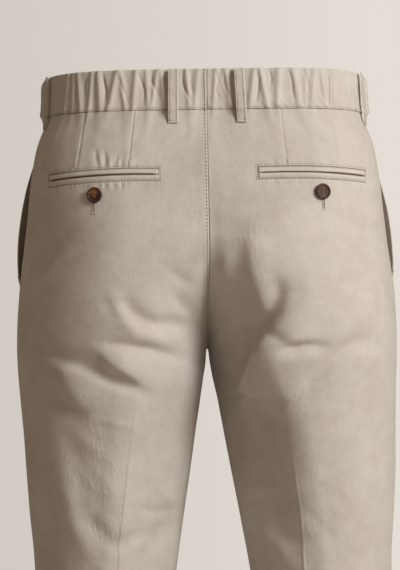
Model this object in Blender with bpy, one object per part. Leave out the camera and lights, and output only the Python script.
"""Chino trousers, standing open as they are worn: four leg panels, a waistband with an elastic
back, belt loops, welt pockets with their buttons, side pocket facings and a closed fly.

Metres. +X is the wearer's right, +Y the front and +Z up. The origin is the middle of the waist,
half way up the waistband. Each half of the garment is one form: a curve round the body at every
height, from the inner back edge (the centre back seam, and below it the inseam) round the side
to the inner front edge. Every piece is made from points of that form, moved out or in.
"""

import math

import bmesh
import bpy
import numpy as np
from mathutils import Matrix, Vector

# Driving dimensions.
BAND_HEIGHT = 0.040
BAND_WALL = 0.0030      # two layers of cloth with the elastic or the stiffener between them
BAND_PROUD = 0.0010     # the band's outer face, outside the panels
CLOTH = 0.0014          # one panel's wall
SEAM = 0.0003           # the gap where two pieces are sewn together
LAP = 0.0006            # the gap where one layer lies on another
CROTCH_Z = -0.256
HEM_Z = -1.066
WAIST_DIP = 0.008       # the waist lies this much lower at the centre front
BACK_HOOK = 0.115       # height of the seat seam's curve above the crotch
FRONT_HOOK = 0.070
SEAT_SINK = 0.004       # how far the centre back seam lies in from the seat's fullest line
FORK_SPREAD = 0.16      # how fast the inner legs part below the crotch, and meet above it
ARCH_HALF = 0.0012      # the inseams part over this half width, right below the crotch
ARCH_DROP = 0.002
SQUARE_WAIST = 1.0      # the back turns to the side this much more squarely than an ellipse
SQUARE_FROM_Z = -0.160
SQUARE_OVER = 0.120
FLAT_LEG = 0.5          # below the crotch the inner leg is this much flatter than an ellipse
FLAT_OVER = 0.100
LEG_LEAN = 0.010        # the stance: both legs lean this share of their length to the right
SIDE_SEAM_FORWARD = -0.004
FRONT_DEPTH = 0.118     # how far forward the waist reaches

WAIST_Z = -BAND_HEIGHT / 2

# One row for each section: its height, the side's furthest point (x, y), the fullest point of
# the back and of the front (x, y), and the inseam (x, y). Above the crotch the inseam is unused.
SECTION_COLUMNS = (
    "z", "side_x", "side_y", "back_x", "back_y", "front_x", "front_y", "inner_x", "inner_y")
SECTIONS = (
    (0.021, 0.1590, 0.004, 0.030, -0.1160, 0.030, 0.1170, 0.0000, 0.010),
    (-0.020, 0.1600, 0.004, 0.034, -0.1190, 0.032, 0.1190, 0.0000, 0.010),
    (-0.046, 0.1705, 0.003, 0.042, -0.1265, 0.036, 0.1205, 0.0000, 0.010),
    (-0.075, 0.1765, 0.002, 0.052, -0.1340, 0.042, 0.1205, 0.0000, 0.010),
    (-0.110, 0.1812, 0.000, 0.062, -0.1405, 0.050, 0.1190, 0.0000, 0.010),
    (-0.158, 0.1870, -0.004, 0.075, -0.1450, 0.062, 0.1150, 0.0000, 0.010),
    (-0.206, 0.1925, -0.008, 0.085, -0.1425, 0.074, 0.1095, 0.0000, 0.010),
    (-0.256, 0.1940, -0.010, 0.090, -0.1330, 0.084, 0.1040, 0.0000, 0.010),
    (-0.309, 0.1915, -0.010, 0.095, -0.1210, 0.094, 0.1000, 0.0080, 0.006),
    (-0.371, 0.1895, -0.008, 0.101, -0.1105, 0.102, 0.0960, 0.0180, 0.002),
    (-0.433, 0.1862, -0.006, 0.106, -0.1020, 0.107, 0.0920, 0.0285, 0.000),
    (-0.480, 0.1835, -0.004, 0.110, -0.0965, 0.110, 0.0885, 0.0360, 0.000),
    (-0.590, 0.1835, -0.002, 0.118, -0.0850, 0.118, 0.0780, 0.0495, -0.001),
    (-0.700, 0.1880, -0.006, 0.125, -0.0820, 0.125, 0.0690, 0.0590, -0.004),
    (-0.850, 0.1940, -0.009, 0.132, -0.0805, 0.132, 0.0610, 0.0680, -0.009),
    (-1.000, 0.1985, -0.010, 0.139, -0.0770, 0.139, 0.0560, 0.0775, -0.010),
    (-1.066, 0.2000, -0.010, 0.141, -0.0750, 0.141, 0.0560, 0.0800, -0.010),
)

# The largest folds, as strokes on the back or front: half ("left", "right"), face (-1 back,
# 1 front), the stroke's ends and its middle (x, z), its half width, and its height: positive is
# a ridge and negative a trough.
FOLD_COLUMNS = ("half", "face", "x0", "z0", "x1", "z1", "x2", "z2", "width", "height")
FOLDS = (
    ("left", -1, 0.108, -0.250, 0.075, -0.252, 0.030, -0.270, 0.012, -0.0055),
    ("left", -1, 0.150, -0.258, 0.105, -0.276, 0.066, -0.296, 0.013, -0.0065),
    ("left", -1, 0.152, -0.280, 0.135, -0.310, 0.110, -0.330, 0.014, -0.0045),
    ("left", -1, 0.081, -0.199, 0.057, -0.227, 0.018, -0.228, 0.009, -0.0045),
    ("left", -1, 0.092, -0.204, 0.075, -0.232, 0.034, -0.244, 0.010, 0.0030),
    ("left", -1, 0.106, -0.253, 0.087, -0.270, 0.065, -0.286, 0.012, 0.0060),
    ("left", -1, 0.149, -0.264, 0.137, -0.286, 0.123, -0.309, 0.014, 0.0045),
    ("left", -1, 0.125, -0.425, 0.105, -0.455, 0.086, -0.480, 0.014, 0.0050),
    ("right", -1, 0.070, -0.252, 0.095, -0.244, 0.120, -0.248, 0.011, -0.0050),
    ("right", -1, 0.110, -0.272, 0.140, -0.250, 0.165, -0.246, 0.014, -0.0050),
    ("right", -1, 0.041, -0.140, 0.044, -0.190, 0.055, -0.222, 0.018, 0.0055),
    ("right", -1, 0.060, -0.182, 0.061, -0.213, 0.038, -0.240, 0.009, -0.0050),
    ("right", -1, 0.031, -0.236, 0.034, -0.300, 0.048, -0.385, 0.023, -0.0120),
    ("right", -1, 0.045, -0.415, 0.062, -0.440, 0.092, -0.450, 0.012, 0.0050),
    ("left", 1, 0.020, -0.215, 0.070, -0.225, 0.120, -0.205, 0.014, -0.0040),
    ("right", 1, 0.018, -0.222, 0.060, -0.236, 0.110, -0.222, 0.014, -0.0045),
    ("left", 1, 0.085, -0.585, 0.118, -0.600, 0.150, -0.590, 0.016, -0.0040),
    ("right", 1, 0.080, -0.600, 0.115, -0.590, 0.150, -0.602, 0.016, -0.0040),
    ("left", -1, 0.080, -0.610, 0.115, -0.622, 0.155, -0.605, 0.016, -0.0050),
    ("right", -1, 0.078, -0.600, 0.112, -0.618, 0.150, -0.612, 0.016, -0.0050),
)

# The pressed creases: x at each height, down the back and the front of a leg.
CREASE_HEIGHT = 0.0022
CREASE_WIDTH = 0.011
CREASES = {
    -1: ((-0.262, 0.069), (-0.334, 0.075), (-0.467, 0.090), (-0.590, 0.106), (HEM_Z, 0.139)),
    1: ((-0.262, 0.088), (-0.334, 0.093), (-0.467, 0.104), (-0.590, 0.114), (HEM_Z, 0.140)),
}

# Slant side pockets: the front panel is cut away from this far forward of the side seam at the
# waist down to nothing at the pocket's foot, and its edge stands open.
POCKET_FORWARD = 0.045
POCKET_FOOT_Z = -0.190
POCKET_GAPE = 0.0110
POCKET_GAPE_REACH = 0.060
FACING_UNDERLAP = 0.022
FACING_DROP = 0.0014    # the facing lies this far inside the front panel
FACING_SINK_SHARE = 0.6        # it goes in over this share of the pocket's width
FACING_FOOT_SHARE = 0.6        # and is in all the way across below this share of its height
FACING_COLUMNS = 5
FACING_ROWS = 9

# Welt pockets in the back panels: a window that two welts fill. Ends are measured by x.
WELT_INNER_X = 0.048
WELT_OUTER_X = 0.155
WELT_INNER_Z = -0.0832
WELT_OUTER_Z = -0.0864
WELT_HEIGHT = 0.0120
WELT_SLIT = 0.0006
WELT_WALL = 0.0020
WELT_PROUD = 0.0008
WELT_COLUMNS = 8
WINDOW_REACH = 0.008    # how far the window's cutter reaches out and in

# Buttons.
POCKET_BUTTON_X = 0.1095
POCKET_BUTTON_Z = -0.1024
POCKET_BUTTON_ACROSS = 0.0155
POCKET_BUTTON_SINK = 0.0007     # the panel's facets lie this far inside the form here
WAIST_BUTTON_X = 0.010
WAIST_BUTTON_ACROSS = 0.0170
BUTTON_THICK = 0.0030
BUTTON_HOLE_ACROSS = 0.0019
BUTTON_HOLE_PITCH = 0.0032
SHANK_ACROSS = 0.0042
SHANK_LENGTH = 0.0020

# Belt loops, by their middle: x on the back or front face, or the side. Each stands off the
# band by room for a belt.
LOOP_WIDTH = 0.011
LOOP_WALL = 0.0015
LOOP_BELOW = 0.0135      # how far it runs down below the waist seam
LOOP_COLUMNS = ("place", "face", "x", "stand_off")
LOOPS = (
    ("back", -1, 0.0325, 0.0050),
    ("side", 0, 0.0, 0.0052),
    ("front", 1, 0.0620, 0.0062),
)
LOOP_TOP_IN = 0.0005     # how far its top end lies under the band's top edge
LOOP_ENDS = (0.14, 0.18)        # shares of its length over which it rises at the top and the foot
LOOP_ROWS = (0.0, 0.06, 0.14, 0.30, 0.55, 0.72, 0.84, 0.93, 1.0)
LOOP_STEP = 0.006        # below the waist seam it goes in from the band to the panel over this
SIDE_LOOP_FORWARD = -0.058

# The fly. The left front laps over the right one along it.
FLY_WIDTH = 0.038
FLY_FOOT_Z = -0.186
FLY_LAP = 0.006
FLY_RISE = 0.0195       # above its foot the left edge lifts over this length, then widens to the lap
FLY_EDGE = 0.0045
FLY_TOP_IN = 0.001       # the facing and the zip end this far under the waist seam
FLY_FOOT_ROUND = 0.030   # height of the facing's rounded foot
FLY_ROWS = 10
ZIP_HALF = 0.012
ZIP_CHAIN_HALF = 0.003
ZIP_TAPE = 0.0010
ZIP_CHAIN = 0.0022
SLIDER_SIZE = (0.0076, 0.0016, 0.0095)
SLIDER_ROUND = 0.0005
SLIDER_DOWN = 0.012      # below the waist seam
TAB_LENGTH = 0.024       # how far the left front band laps over the right
TAB_STEP = 0.012         # it rises over the right one in this length
TAB_CLEAR = 0.001        # and is up this far before the middle

# The elastic back: gathers of an uneven pitch, which get lower towards the side.
GATHER_PITCH = 0.0095
GATHER_HEIGHT = 0.0015

# Facets. A panel's columns lie on either side of its fullest line, and its rows lie closer
# together round the crotch, where they follow the seat seam's curve.
BACK_COLUMNS = (6, 8)
FRONT_COLUMNS = (5, 5)
FRONT_LEAST = 0.02       # least width of the columns outside the front's fullest line
HIP_ROWS = 4
HOOK_ROWS = (1, 0.78, 0.6, 0.44, 0.3, 0.18, 0.09, 0.03)    # shares of the hook above the crotch
FORK_ROWS = (0.0, 0.004, 0.013)        # below the crotch
LEG_ROWS_START = 0.030
LEG_ROWS = 17
LEG_ROWS_EASE = 1.15
BAND_COLUMNS = 14
TAB_COLUMNS = 4
BUTTON_SIDES = 16
QUARTER_SAMPLES = 24

SHELL_COLOUR = (0.50, 0.44, 0.36, 1.0)
TAPE_COLOUR = (0.45, 0.40, 0.32, 1.0)
BUTTON_COLOUR = (0.12, 0.045, 0.025, 1.0)
ZIP_COLOUR = (0.45, 0.36, 0.20, 1.0)


# ---------------------------------------------------------------- the form

def smooth(t):
    """0 below 0, 1 above 1, and a smooth step between."""
    t = np.clip(t, 0.0, 1.0)
    return t * t * (3 - 2 * t)


def through(rows, at):
    """A curve that doesn't overshoot, through (place, value) rows, read at one place."""
    rows = sorted(rows)
    places = np.array([row[0] for row in rows])
    values = np.array([row[1] for row in rows])
    steps = np.diff(places)
    slopes = np.diff(values) / steps
    tangents = np.zeros(len(rows))
    for i in range(1, len(rows) - 1):
        if slopes[i - 1] * slopes[i] > 0:
            before, after = 2 * steps[i] + steps[i - 1], steps[i] + 2 * steps[i - 1]
            tangents[i] = (before + after) / (before / slopes[i - 1] + after / slopes[i])
    tangents[0], tangents[-1] = slopes[0], slopes[-1]
    at = float(np.clip(at, places[0], places[-1]))
    i = int(np.clip(np.searchsorted(places, at) - 1, 0, len(steps) - 1))
    t = (at - places[i]) / steps[i]
    return (
        values[i] * (1 + 2 * t) * (1 - t) ** 2 + tangents[i] * steps[i] * t * (1 - t) ** 2
        + values[i + 1] * t * t * (3 - 2 * t) + tangents[i + 1] * steps[i] * t * t * (t - 1))


def section_values(z):
    """The section table read at height z, by column name."""
    return {
        name: through([(row[0], row[i]) for row in SECTIONS], z)
        for i, name in enumerate(SECTION_COLUMNS) if name != "z"
    }


def overlap(z, reach, across):
    """How far the two legs' rounds run into each other at height z: 0 at the crotch, where they
    meet, and 1 from reach above it, where they are one round. across is a leg's half width."""
    height = float(np.clip(z - CROTCH_Z, 0.0, reach))
    first = FORK_SPREAD / across
    return first * height + (1 - first * reach) * (height / reach) ** 2


def inner_quarter(inner, outer, merged, sink, power):
    """The quarter from the seat seam or the inseam to the back's or the front's fullest point.
    merged cuts away the part of the round that the other leg's round takes, and power is 2 for
    an ellipse and less for a flatter quarter."""
    along = 1 - np.cos(np.linspace(0, math.pi / 2, QUARTER_SAMPLES + 1))
    x = inner[0] + (outer[0] - inner[0]) * along
    share = (1 - ((1 - merged) * (1 - along)) ** power) ** (1 / power)
    depth = outer[1] - inner[1]
    y = inner[1] + depth * share - np.sign(depth) * sink * (1 - along) ** 2
    return np.column_stack([x, y])


def outer_quarter(start, end, power):
    """The quarter from the back's fullest point to the side's furthest one, or from the front's.
    power is 2 for an ellipse and more for a squarer turn."""
    turn = np.linspace(0, math.pi / 2, QUARTER_SAMPLES + 1)
    across = np.sin(turn) ** (2 / power)
    back = np.clip(np.cos(turn), 0, 1) ** (2 / power)
    x = start[0] + (end[0] - start[0]) * across
    y = end[1] + (start[1] - end[1]) * back
    return np.column_stack([x, y])


def outline(z):
    """The curve round one half at height z, as points (x, y) for the wearer's right."""
    at = section_values(z)
    below = max(CROTCH_Z - z, 0.0)
    inner_x = SEAM / 2 + at["inner_x"] + ARCH_HALF * (1 - math.exp(-below / ARCH_DROP))
    inner = (inner_x, at["inner_y"])
    back = (at["back_x"], at["back_y"])
    side = (at["side_x"], at["side_y"])
    front = (at["front_x"], at["front_y"])
    sink = SEAT_SINK * float(smooth((-0.06 - z) / 0.08) * smooth((z - CROTCH_Z) / 0.05))
    leg = 2 - FLAT_LEG * float(smooth(below / FLAT_OVER))
    turn = 2 + SQUARE_WAIST * float(smooth((z - SQUARE_FROM_Z) / SQUARE_OVER))
    back_inner = inner_quarter(inner, back, overlap(z, BACK_HOOK, back[0]), sink, leg)
    front_inner = inner_quarter(inner, front, overlap(z, FRONT_HOOK, front[0]), 0.0, leg)
    return np.vstack([
        back_inner[:-1],
        outer_quarter(back, side, turn)[:-1],
        outer_quarter(front, side, 2)[::-1][:-1],
        front_inner[::-1],
    ])


def stroke_height(points, fold):
    """A fold's height at points (x, z): full along its middle, nothing at its ends."""
    ends = np.array([[fold["x0"], fold["z0"]], [fold["x1"], fold["z1"]], [fold["x2"], fold["z2"]]])
    t = np.linspace(0, 1, 17)[:, None]
    middle = 2 * ends[1] - (ends[0] + ends[2]) / 2
    line = (1 - t) ** 2 * ends[0] + 2 * t * (1 - t) * middle + t * t * ends[2]
    away = np.linalg.norm(points[:, None] - line[None], axis=2)
    nearest = away.argmin(axis=1)
    taper = np.sin(np.pi * np.clip(t[nearest, 0], 0.04, 0.96)) ** 0.6
    return fold["height"] * taper * np.exp(-(away.min(axis=1) / fold["width"]) ** 2)


def fold_height(half, points, z):
    """How far the folds and pressed creases stand out from the form at points (x, y) of height z."""
    flat = np.column_stack([points[:, 0], np.full(len(points), z)])
    out = np.zeros(len(points))
    for row in FOLDS:
        fold = dict(zip(FOLD_COLUMNS, row))
        if fold["half"] != half:
            continue
        facing = smooth(points[:, 1] * fold["face"] / 0.03)
        out += stroke_height(flat, fold) * facing
    for face, rows in CREASES.items():
        if z > rows[0][0]:
            continue
        begins = float(smooth((rows[0][0] - z) / 0.06))
        away = np.abs(points[:, 0] - through(rows, z))
        ridge = CREASE_HEIGHT * begins * np.clip(1 - away / CREASE_WIDTH, 0, 1)
        out += ridge * smooth(points[:, 1] * face / 0.03)
    return out


class Cut:
    """One half's section at a height, read by the distance round it from the inner back edge."""

    def __init__(self, half, z):
        self.mirror = -1.0 if half == "left" else 1.0
        self.z = z
        points = outline(z)
        step = 0.001
        rise = (outline(z + step) - outline(z - step)) / (2 * step)
        tangent = np.gradient(points, axis=0)
        tangent /= np.linalg.norm(tangent, axis=1)[:, None]
        level = np.column_stack([tangent[:, 1], -tangent[:, 0]])
        slope = np.clip(-(level * rise).sum(axis=1), -1.2, 1.2)
        normal = np.column_stack([level, slope])
        self.normal = normal / np.linalg.norm(normal, axis=1)[:, None]
        self.points = points
        lengths = np.linalg.norm(np.diff(points, axis=0), axis=1)
        self.round = np.concatenate([[0.0], np.cumsum(lengths)])
        self.whole = self.round[-1]
        self.back = self.round[QUARTER_SAMPLES]
        self.side = self.round[2 * QUARTER_SAMPLES] + SIDE_SEAM_FORWARD
        self.front = self.round[3 * QUARTER_SAMPLES]
        self.folds = fold_height(half, points, z)

    def read(self, values, girth):
        return np.array([np.interp(girth, self.round, column) for column in values.T])

    def at(self, girth, lift=0.0):
        """The point this far round, moved out by lift."""
        x, y = self.read(self.points, girth)
        normal = self.read(self.normal, girth)
        out = lift + np.interp(girth, self.round, self.folds)
        dip = WAIST_DIP * (max(y, 0.0) / FRONT_DEPTH) ** 2 * float(smooth((self.z + 0.15) / 0.12))
        lean = LEG_LEAN * max(CROTCH_Z - self.z, 0.0)
        place = np.array((x, y, self.z - dip)) + normal * out
        return Vector((place[0] * self.mirror + lean, place[1], place[2]))

    def outward(self, girth):
        normal = self.read(self.normal, girth)
        return Vector((normal[0] * self.mirror, normal[1], normal[2]))

    def girth_at_x(self, x, face):
        """How far round the back (-1) or the front (1) is this far out from the middle."""
        middle = 2 * QUARTER_SAMPLES + 1
        if face < 0:
            return float(np.interp(x, self.points[:middle, 0], self.round[:middle]))
        order = slice(None, 2 * QUARTER_SAMPLES - 1, -1)
        return float(np.interp(x, self.points[order, 0], self.round[order]))


cuts = {}


def cut(half, z):
    key = (half, round(z, 6))
    if key not in cuts:
        cuts[key] = Cut(half, z)
    return cuts[key]


# ---------------------------------------------------------------- making solids

def material(name, colour, roughness, metallic=0.0):
    made = bpy.data.materials.new(name)
    made.use_nodes = True
    shader = made.node_tree.nodes["Principled BSDF"]
    shader.inputs["Base Color"].default_value = colour
    shader.inputs["Roughness"].default_value = roughness
    shader.inputs["Metallic"].default_value = metallic
    return made


def finish(name, bm, look):
    bmesh.ops.recalc_face_normals(bm, faces=bm.faces)
    if bm.calc_volume(signed=True) < 0:
        bmesh.ops.reverse_faces(bm, faces=bm.faces)
    mesh = bpy.data.meshes.new(name)
    bm.to_mesh(mesh)
    bm.free()
    mesh.materials.append(look)
    mesh.shade_smooth()
    mesh.set_sharp_from_angle(angle=math.radians(50))
    piece = bpy.data.objects.new(name, mesh)
    bpy.context.scene.collection.objects.link(piece)
    return piece


def wall(name, columns, rows, outer, inner, look):
    """A closed sheet: a grid on its outer face, extruded to its inner face.

    columns and rows are shares from 0 to 1, and outer and inner give the point at (column, row).
    """
    bm = bmesh.new()
    order = bm.verts.layers.int.new("order")
    bmesh.ops.create_grid(bm, x_segments=len(columns) - 1, y_segments=len(rows) - 1, size=1)
    bm.verts.ensure_lookup_table()
    for index, vert in enumerate(bm.verts):
        vert[order] = index
    made = bmesh.ops.extrude_face_region(bm, geom=bm.faces[:])["geom"]
    inside = {item for item in made if isinstance(item, bmesh.types.BMVert)}
    for vert in bm.verts:
        row, column = divmod(vert[order], len(columns))
        place = inner if vert in inside else outer
        vert.co = place(columns[column], rows[row])
    return finish(name, bm, look)


def patch(name, half, columns, rows, girths, height, lift, look):
    """One layer of cloth over part of the form. girths(cut, u) and height(v) place its grid, and
    lift(cut, girth) is its outer face."""
    def outer(u, v):
        at = cut(half, height(v))
        girth = girths(at, u)
        return at.at(girth, lift(at, girth))

    def inner(u, v):
        at = cut(half, height(v))
        girth = girths(at, u)
        return at.at(girth, lift(at, girth) - CLOTH)

    return wall(name, columns, rows, outer, inner, look)


def shares(count):
    return [i / count for i in range(count + 1)]


def between(start, middle, end, u):
    """A girth on a panel: u from 0 to 1 reaches the panel's fullest line, and 2 its far edge."""
    return start + (middle - start) * u if u < 1 else middle + (end - middle) * (u - 1)


def panel_columns(counts):
    first, second = counts
    return [i / first for i in range(first)] + [1 + i / second for i in range(second + 1)]


def leg_heights():
    """The rows of a panel, from the waist seam down to the hem."""
    top = WAIST_Z - SEAM / 2
    hook = [CROTCH_Z + BACK_HOOK * share for share in HOOK_ROWS]
    hip = [top + (hook[0] - top) * i / HIP_ROWS for i in range(HIP_ROWS)]
    fork = [CROTCH_Z - drop for drop in FORK_ROWS]
    start = CROTCH_Z - LEG_ROWS_START
    leg = [start + (HEM_Z - start) * share ** LEG_ROWS_EASE for share in shares(LEG_ROWS)]
    return hip + hook + fork + leg


def pocket_share(z):
    """How far down the slant pocket this height is, from 0 at the waist to 1 at its foot."""
    return float(np.clip((WAIST_Z - z) / (WAIST_Z - POCKET_FOOT_Z), 0.0, 1.0))


def pocket_edge(at):
    """How far forward of the side seam the pocket's edge lies."""
    return POCKET_FORWARD * (1 - pocket_share(at.z))


def pocket_gape(at, girth):
    """How far the front panel stands off at this girth, beside the pocket's open edge."""
    open_here = math.sin(math.pi * pocket_share(at.z)) ** 0.75
    away = max(girth - at.side - pocket_edge(at), 0.0)
    return POCKET_GAPE * open_here * (1 - float(smooth(away / POCKET_GAPE_REACH)))


# ---------------------------------------------------------------- the pieces

def back_panel(half, look):
    heights = leg_heights()
    return patch(
        f"back_{half}", half, panel_columns(BACK_COLUMNS), shares(len(heights) - 1),
        girths=lambda at, u: between(SEAM / 2, at.back, at.side - SEAM / 2, u),
        height=lambda v: heights[round(v * (len(heights) - 1))],
        lift=lambda at, girth: 0.0,
        look=look)


def front_panel(half, look):
    """A front. The left one has two more columns at its inner edge, which lap over the right
    front along the fly."""
    heights = leg_heights()
    laps = half == "left"
    columns = panel_columns(FRONT_COLUMNS) + ([2.5, 3] if laps else [])
    last = FLY_EDGE * 2.5 if laps else SEAM / 2

    def spot(u, v, depth):
        z = heights[round(v * (len(heights) - 1))]
        at = cut(half, z)
        edge = at.side + SEAM / 2 + pocket_edge(at)
        if u <= 2:
            girth = between(edge, max(at.front, edge + FRONT_LEAST), at.whole - last, u)
            return at.at(girth, pocket_gape(at, girth) - depth)
        over = (CLOTH + LAP) * float(smooth((z - FLY_FOOT_Z) / FLY_RISE))
        lap = FLY_LAP * float(smooth((z - FLY_FOOT_Z) / FLY_RISE - 1))
        if u < 3 or lap < SEAM:
            return at.at(at.whole - (FLY_EDGE if u < 3 else SEAM / 2), over - depth)
        other = cut("right", z)
        return other.at(other.whole - lap, over - depth)

    return wall(
        f"front_{half}", columns, shares(len(heights) - 1),
        outer=lambda u, v: spot(u, v, 0.0),
        inner=lambda u, v: spot(u, v, CLOTH),
        look=look)


def pocket_facing(half, look):
    """The cloth that shows in the open pocket: flush at the side seam, under the front's edge."""
    top = WAIST_Z - SEAM / 2
    foot = POCKET_FOOT_Z + 0.004
    under = CLOTH + FACING_DROP

    def lift(at, girth):
        forward = girth - at.side
        across = smooth(forward / max(FACING_SINK_SHARE * pocket_edge(at), SEAM))
        down = smooth((pocket_share(at.z) - FACING_FOOT_SHARE) / (1 - FACING_FOOT_SHARE) * 1.6)
        return -under * float(max(across, down))

    return patch(
        f"pocket_facing_{half}", half, shares(FACING_COLUMNS), shares(FACING_ROWS),
        girths=lambda at, u: at.side + SEAM / 2 + (pocket_edge(at) + FACING_UNDERLAP) * u,
        height=lambda v: top + (foot - top) * v,
        lift=lift,
        look=look)


def gather_places(length):
    """The gathers' ridges and troughs along the elastic, at an uneven pitch, as
    (distance from the centre back, height out)."""
    places, far, i = [(0.0, 0.0)], 0.0035, 0
    while far < length - GATHER_PITCH:
        pitch = GATHER_PITCH * (1 + 0.28 * math.sin(2.4 * i) + 0.18 * math.sin(5.1 * i + 1))
        lower = GATHER_HEIGHT * (1 - 0.65 * far / length)
        places += [(far, -0.35 * lower), (far + 0.45 * pitch, lower)]
        far += pitch
        i += 1
    return places + [(length, 0.0)]


def waistband_back(half, look):
    middle = cut(half, 0.0)
    length = middle.side - SEAM
    places = gather_places(length)
    columns = [place[0] / length for place in places]
    heights = dict(zip(columns, (place[1] for place in places)))
    low = WAIST_Z + SEAM / 2

    def spot(u, v, depth):
        at = cut(half, low + (BAND_HEIGHT - SEAM / 2) * v)
        girth = SEAM / 2 + (at.side - SEAM) * u
        return at.at(girth, BAND_PROUD + heights[u] - depth)

    return wall(
        f"waistband_back_{half}", columns, shares(1),
        outer=lambda u, v: spot(u, v, 0.0),
        inner=lambda u, v: spot(u, v, BAND_WALL),
        look=look)


def waistband_front(half, look):
    """The plain front of the band. The left one ends in a tab that laps over the right."""
    low = WAIST_Z + SEAM / 2
    laps = half == "left"
    columns = shares(BAND_COLUMNS)
    if laps:
        columns += [1 + share for share in shares(TAB_COLUMNS)[1:]]

    def spot(u, v, depth):
        z = low + (BAND_HEIGHT - SEAM / 2) * v
        at = cut(half, z)
        start = at.side + SEAM / 2
        if u <= 1:
            girth = start + (at.whole - SEAM / 2 - start) * u
            near = float(smooth(1 - (at.whole - girth - TAB_CLEAR) / TAB_STEP)) if laps else 0.0
            return at.at(girth, BAND_PROUD + (BAND_WALL + LAP) * near - depth)
        other = cut("right", z)
        return other.at(other.whole - TAB_LENGTH * (u - 1), BAND_PROUD + BAND_WALL + LAP - depth)

    return wall(
        f"waistband_front_{half}", columns, shares(1),
        outer=lambda u, v: spot(u, v, 0.0),
        inner=lambda u, v: spot(u, v, BAND_WALL),
        look=look)


def loop_girth(at, face, x):
    """Where a loop's middle lies: at x on the back or front, or just behind the side."""
    if face == 0:
        return float(at.round[2 * QUARTER_SAMPLES]) + SIDE_LOOP_FORWARD
    return at.girth_at_x(x, face)


def belt_loop(half, place, face, x, stand_off, look):
    """A strip fixed above and below the band, standing off it between."""
    top = -WAIST_Z - LOOP_TOP_IN
    foot = WAIST_Z - LOOP_BELOW
    clear = BAND_PROUD + (GATHER_HEIGHT if face <= 0 else 0.0) + LAP
    top_share, foot_share = LOOP_ENDS

    def spot(u, v, depth):
        z = top + (foot - top) * v
        at = cut(half, z)
        on_band = float(smooth((z - WAIST_Z) / LOOP_STEP + 1))
        ground = LAP + (clear - LAP) * on_band
        rise = float(smooth(v / top_share)) * float(smooth((1 - v) / foot_share))
        lift = ground + LOOP_WALL + stand_off * rise
        girth = loop_girth(at, face, x) + LOOP_WIDTH * (u - 0.5)
        return at.at(girth, lift - depth)

    return wall(
        f"belt_loop_{place}_{half}", shares(2), LOOP_ROWS,
        outer=lambda u, v: spot(u, v, 0.0),
        inner=lambda u, v: spot(u, v, LOOP_WALL),
        look=look)


def welt_line(x):
    """The height of the welts' slit this far out from the middle."""
    share = (x - WELT_INNER_X) / (WELT_OUTER_X - WELT_INNER_X)
    return WELT_INNER_Z + (WELT_OUTER_Z - WELT_INNER_Z) * share


def welt_block(name, half, low, high, outer_lift, inner_lift, end_room, look):
    """A block of the welt pocket's window, between two heights from the slit."""
    def spot(u, v, lift):
        x = WELT_INNER_X - end_room + (WELT_OUTER_X - WELT_INNER_X + 2 * end_room) * u
        z = welt_line(x) + low + (high - low) * v
        at = cut(half, z)
        return at.at(at.girth_at_x(x, -1), lift)

    return wall(
        name, shares(WELT_COLUMNS), shares(1),
        outer=lambda u, v: spot(u, v, outer_lift),
        inner=lambda u, v: spot(u, v, inner_lift),
        look=look)


def welt_pocket(half, panel, look):
    """The window in the back panel, and the two welts that fill it."""
    reach = WELT_HEIGHT / 2
    cutter = welt_block(
        f"window_{half}", half, -reach - SEAM, reach + SEAM, WINDOW_REACH, -WINDOW_REACH, SEAM,
        look)
    cutter.hide_render = True
    cutter.display_type = "WIRE"
    opened = panel.modifiers.new("pocket window", "BOOLEAN")
    opened.operation = "DIFFERENCE"
    opened.solver = "EXACT"
    opened.object = cutter
    inner = WELT_PROUD - WELT_WALL
    welt_block(
        f"welt_upper_{half}", half, WELT_SLIT / 2, reach, WELT_PROUD, inner, 0.0, look)
    welt_block(
        f"welt_lower_{half}", half, -reach, -WELT_SLIT / 2, WELT_PROUD, inner, 0.0, look)


def turned(profile, segments):
    """A solid of revolution about Z from (radius, height) points, first and last on the axis."""
    bm = bmesh.new()
    verts = [bm.verts.new((radius, 0.0, height)) for radius, height in profile]
    edges = [bm.edges.new(pair) for pair in zip(verts, verts[1:])]
    bmesh.ops.spin(
        bm, geom=verts + edges, cent=(0, 0, 0), axis=(0, 0, 1), dvec=(0, 0, 0),
        angle=2 * math.pi, steps=segments, use_merge=True, use_duplicate=False)
    bmesh.ops.remove_doubles(bm, verts=bm.verts, dist=1e-6)
    return bm


def button(name, across, place, outward, look):
    """A four-hole button with a rim, on its thread shank, facing outward."""
    radius = across / 2
    dish = radius * 0.66
    profile = (
        (0.0, -SHANK_LENGTH), (SHANK_ACROSS / 2, -SHANK_LENGTH), (SHANK_ACROSS / 2, 0.0),
        (radius * 0.8, 0.0), (radius, BUTTON_THICK * 0.55), (radius * 0.86, BUTTON_THICK),
        (dish, BUTTON_THICK * 0.7), (0.0, BUTTON_THICK * 0.66))
    piece = finish(name, turned(profile, BUTTON_SIDES), look)
    drill = bmesh.new()
    for i in range(4):
        angle = math.pi / 4 + i * math.pi / 2
        spot = Matrix.Translation((
            math.cos(angle) * BUTTON_HOLE_PITCH / math.sqrt(2),
            math.sin(angle) * BUTTON_HOLE_PITCH / math.sqrt(2), BUTTON_THICK * 0.6))
        bmesh.ops.create_cone(
            drill, cap_ends=True, segments=6, radius1=BUTTON_HOLE_ACROSS / 2,
            radius2=BUTTON_HOLE_ACROSS / 2, depth=BUTTON_THICK, matrix=spot)
    holes = finish(f"holes_{name}", drill, look)
    holes.hide_render = True
    holes.display_type = "WIRE"
    holes.parent = piece
    drilled = piece.modifiers.new("holes", "BOOLEAN")
    drilled.operation = "DIFFERENCE"
    drilled.solver = "EXACT"
    drilled.object = holes
    piece.rotation_mode = "QUATERNION"
    piece.rotation_quaternion = outward.to_track_quat("Z", "Y")
    piece.location = place + outward * SHANK_LENGTH
    return piece


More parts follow.
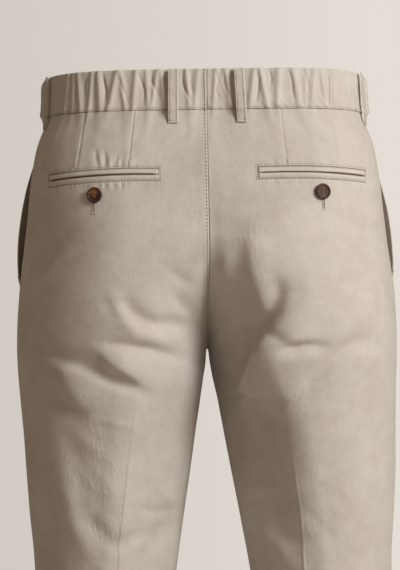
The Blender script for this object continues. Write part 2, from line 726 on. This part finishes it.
def pocket_button(half, look):
    at = cut(half, POCKET_BUTTON_Z)
    girth = at.girth_at_x(POCKET_BUTTON_X, -1)
    button(
        f"pocket_button_{half}", POCKET_BUTTON_ACROSS, at.at(girth, SEAM - POCKET_BUTTON_SINK),
        at.outward(girth), look)


def waist_button(look):
    """The button of the waist, on the tab that laps over from the left."""
    at = cut("right", 0.0)
    girth = at.girth_at_x(WAIST_BUTTON_X, 1)
    proud = BAND_PROUD + BAND_WALL + LAP + SEAM
    button("waist_button", WAIST_BUTTON_ACROSS, at.at(girth, proud), at.outward(girth), look)


def fly_facing(look):
    """The cloth behind the left front that the fly's stitching holds, with a rounded foot."""
    top = WAIST_Z - SEAM / 2 - FLY_TOP_IN
    start = ZIP_HALF + SEAM

    def girths(at, u):
        drop = np.clip((FLY_FOOT_Z + FLY_FOOT_ROUND - at.z) / FLY_FOOT_ROUND, 0, 1)
        return at.whole - start - (FLY_WIDTH - start) * math.sqrt(1 - 0.75 * drop ** 2) * u

    patch(
        "fly_facing", "left", shares(3), shares(FLY_ROWS),
        girths=girths,
        height=lambda v: top + (FLY_FOOT_Z - top) * v,
        lift=lambda at, girth: -CLOTH - LAP,
        look=look)


def fly_zip(cloth, metal):
    """The closed zip behind the front edges: two tapes with the chain of teeth between them."""
    top = WAIST_Z - SEAM / 2 - FLY_TOP_IN

    def strip(name, columns, thickness, look):
        def spot(x, v, depth):
            at = cut("left" if x < 0 else "right", top + (FLY_FOOT_Z - top) * v)
            return at.at(at.whole - abs(x), -CLOTH - LAP - depth)

        wall(
            name, columns, shares(FLY_ROWS),
            outer=lambda x, v: spot(x, v, 0.0),
            inner=lambda x, v: spot(x, v, thickness),
            look=look)

    tape_start = ZIP_CHAIN_HALF + SEAM
    strip("zip_tape_left", (-ZIP_HALF, -tape_start), ZIP_TAPE, cloth)
    strip("zip_tape_right", (tape_start, ZIP_HALF), ZIP_TAPE, cloth)
    strip("zip_chain", (-ZIP_CHAIN_HALF, 0.0, ZIP_CHAIN_HALF), ZIP_CHAIN, metal)


def zip_slider(look):
    """The slider's inner plate, parked at the top of the closed zip."""
    at = cut("right", WAIST_Z - SLIDER_DOWN)
    place = at.at(at.whole, -CLOTH - LAP - ZIP_CHAIN - SEAM - SLIDER_SIZE[1] / 2)
    bm = bmesh.new()
    bmesh.ops.create_cube(bm, size=1)
    bmesh.ops.scale(bm, vec=SLIDER_SIZE, verts=bm.verts)
    bmesh.ops.bevel(
        bm, geom=bm.edges[:], offset=SLIDER_ROUND, offset_type="OFFSET", segments=2, profile=0.5,
        affect="EDGES", material=-1)
    piece = finish("zip_slider", bm, look)
    piece.rotation_mode = "QUATERNION"
    piece.rotation_quaternion = at.outward(at.whole).to_track_quat("Y", "Z")
    piece.location = place


def main():
    for old in list(bpy.data.objects):
        bpy.data.objects.remove(old)
    shell = material("chino twill", SHELL_COLOUR, 0.85)
    horn = material("brown button", BUTTON_COLOUR, 0.35)
    tape = material("zip tape", TAPE_COLOUR, 0.9)
    brass = material("zip metal", ZIP_COLOUR, 0.35, 1.0)
    for half in ("left", "right"):
        panel = back_panel(half, shell)
        welt_pocket(half, panel, shell)
        front_panel(half, shell)
        pocket_facing(half, shell)
        waistband_back(half, shell)
        waistband_front(half, shell)
        for row in LOOPS:
            belt_loop(half, **dict(zip(LOOP_COLUMNS, row)), look=shell)
        pocket_button(half, horn)
    waist_button(horn)
    fly_facing(shell)
    fly_zip(tape, brass)
    zip_slider(brass)


main()
